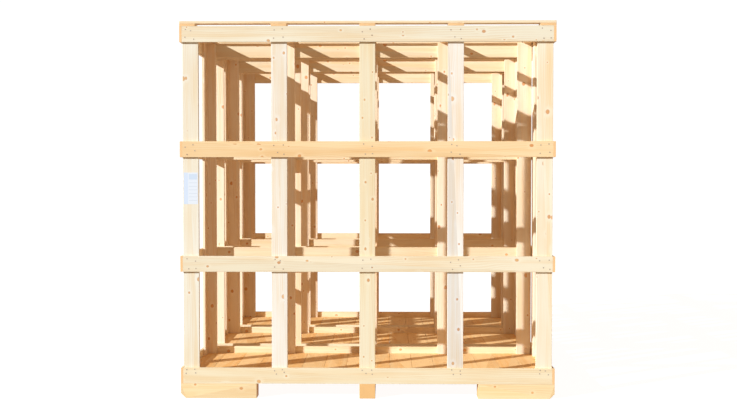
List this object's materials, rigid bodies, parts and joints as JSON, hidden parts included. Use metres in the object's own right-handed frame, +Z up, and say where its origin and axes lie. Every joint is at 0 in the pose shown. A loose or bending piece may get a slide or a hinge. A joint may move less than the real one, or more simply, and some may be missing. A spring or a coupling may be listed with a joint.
{
  "type": "open-frame shipping crate",
  "caption": "Open-frame softwood shipping crate of nailed boards on fork-lift runners, with lattice walls, inner cross frames and a lift-off lattice lid.",
  "frame": {"origin": "bottom centre of the crate, on the face it stands on", "axes": "+Z up, +Y from the front wall to the rear wall along the long side, +X to the right seen from the front"},
  "size_m": [2.2516, 2.6246, 2.2658],
  "materials": {
    "rail_timber": "sawn softwood, pale, with knots",
    "post_timber": "sawn softwood, pale, grain upright",
    "floor_timber": "sawn softwood, warmer",
    "runner_timber": "sawn softwood with end grain",
    "nail_steel": "dull wire nail",
    "label_paper": "matt paper, blank"
  },
  "bodies": {
    "crate": {"bay1_floor_bearers": "floor_timber", "bay1_floor_boards": "floor_timber", "bay2_floor_bearers": "floor_timber", "bay2_floor_boards": "floor_timber", "bay3_floor_bearers": "floor_timber", "bay3_floor_boards": "floor_timber", "bulkhead1_front_posts": "post_timber", "bulkhead1_front_rails": "rail_timber", "bulkhead1_rear_posts": "post_timber", "bulkhead1_rear_rails": "rail_timber", "bulkhead2_front_posts": "post_timber", "bulkhead2_front_rails": "rail_timber", "bulkhead2_rear_posts": "post_timber", "bulkhead2_rear_rails": "rail_timber", "centre_skid": "runner_timber", "front_bottom_rail": "rail_timber", "front_lower_rail": "rail_timber", "front_nails": "nail_steel", "front_post_1": "post_timber", "front_post_2": "post_timber", "front_post_3": "post_timber", "front_post_4": "post_timber", "front_post_5": "post_timber", "front_top_rail": "rail_timber", "front_upper_rail": "rail_timber", "left_bottom_rail": "rail_timber", "left_lower_rail": "rail_timber", "left_nails": "nail_steel", "left_runner_blocks": "runner_timber", "left_side_posts": "post_timber", "left_top_rail": "rail_timber", "left_upper_rail": "rail_timber", "rear_bottom_rail": "rail_timber", "rear_lower_rail": "rail_timber", "rear_nails": "nail_steel", "rear_post_1": "post_timber", "rear_post_2": "post_timber", "rear_post_3": "post_timber", "rear_post_4": "post_timber", "rear_post_5": "post_timber", "rear_top_rail": "rail_timber", "rear_upper_rail": "rail_timber", "right_bottom_rail": "rail_timber", "right_lower_rail": "rail_timber", "right_nails": "nail_steel", "right_runner_blocks": "runner_timber", "right_side_posts": "post_timber", "right_top_rail": "rail_timber", "right_upper_rail": "rail_timber", "shipping_label": "label_paper"},
    "lid": {"lid_board_1": "rail_timber", "lid_board_2": "rail_timber", "lid_board_3": "rail_timber", "lid_board_4": "rail_timber", "lid_board_5": "rail_timber", "lid_cross_strips": "rail_timber", "lid_nails": "nail_steel"}
  },
  "joints": [
    {"name": "lid_lift", "type": "slide", "parent": "crate", "child": "lid", "axis": [0, 0, 1], "range_m": [0, 0.5]}
  ]
}
